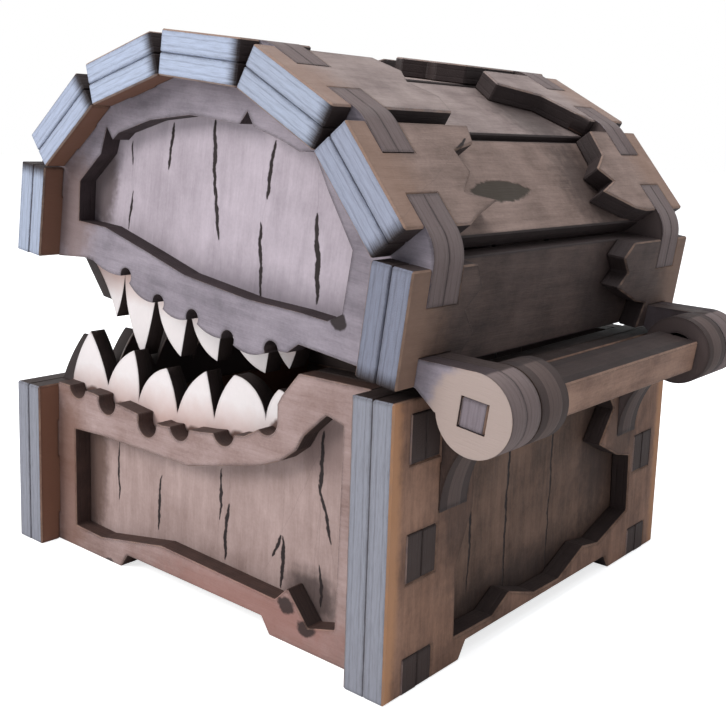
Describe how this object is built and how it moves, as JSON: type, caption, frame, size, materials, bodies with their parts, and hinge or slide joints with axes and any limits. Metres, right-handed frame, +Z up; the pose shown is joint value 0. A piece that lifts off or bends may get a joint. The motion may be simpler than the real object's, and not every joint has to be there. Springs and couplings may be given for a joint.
{
  "type": "dice storage chest",
  "caption": "Small laser-cut plywood treasure chest with layered walls, a barrel lid on a wooden bar hinge behind the back wall, and a mouth of painted teeth around the rim.",
  "frame": {"origin": "middle of the whole chest's footprint, hinge included, on the surface it stands on, with the lid 7.5 degrees open", "axes": "+X along the barrel towards the chest's right end, +Y from the front (the toothed mouth) to the back (the hinge), +Z up"},
  "size_m": [0.0734, 0.0878, 0.0791],
  "materials": {
    "board_plywood": "dark stained plywood, matt, with burnt laser-cut edges",
    "weathered_bands": "grey-brown stained plywood, matt, ragged burnt edges",
    "end_plywood": "pale pinkish stained plywood, matt, engraved planks, burnt edges",
    "hinge_plywood": "plain and stained plywood, matt, burnt edges",
    "painted_teeth": "white brushed paint on plywood, pinkish brown at the gums"
  },
  "bodies": {
    "base": {"base_back_board": "board_plywood", "base_back_frame": "board_plywood", "base_end_frame_left": "end_plywood", "base_end_frame_right": "end_plywood", "base_end_panel_left": "end_plywood", "base_end_panel_right": "end_plywood", "base_floor": "board_plywood", "base_front_board": "board_plywood", "base_front_frame": "board_plywood", "hinge_ear_left": "hinge_plywood", "hinge_ear_right": "hinge_plywood", "lower_teeth_front": "painted_teeth", "lower_teeth_left": "painted_teeth", "lower_teeth_right": "painted_teeth"},
    "lid": {"hinge_bar": "hinge_plywood", "lid_band_2_left": "weathered_bands", "lid_band_2_right": "weathered_bands", "lid_band_3_left": "weathered_bands", "lid_band_3_right": "weathered_bands", "lid_band_4_left": "weathered_bands", "lid_band_4_right": "weathered_bands", "lid_band_5_left": "weathered_bands", "lid_band_5_right": "weathered_bands", "lid_band_6_left": "weathered_bands", "lid_band_6_right": "weathered_bands", "lid_band_7_left": "weathered_bands", "lid_band_7_right": "weathered_bands", "lid_board_1": "board_plywood", "lid_board_2": "board_plywood", "lid_board_3": "board_plywood", "lid_board_4": "board_plywood", "lid_board_5": "board_plywood", "lid_board_6": "board_plywood", "lid_board_7": "board_plywood", "lid_end_frame_left": "end_plywood", "lid_end_frame_right": "end_plywood", "lid_end_panel_left": "end_plywood", "lid_end_panel_right": "end_plywood", "lid_front_frame": "board_plywood", "upper_teeth_front": "painted_teeth", "upper_teeth_left": "painted_teeth", "upper_teeth_right": "painted_teeth"}
  },
  "joints": [
    {"name": "lid_hinge", "type": "hinge", "parent": "base", "child": "lid", "pos_m": [0, 0.039, 0.0359], "axis": [-1, 0, 0], "range_deg": [-7.5, 171]}
  ]
}
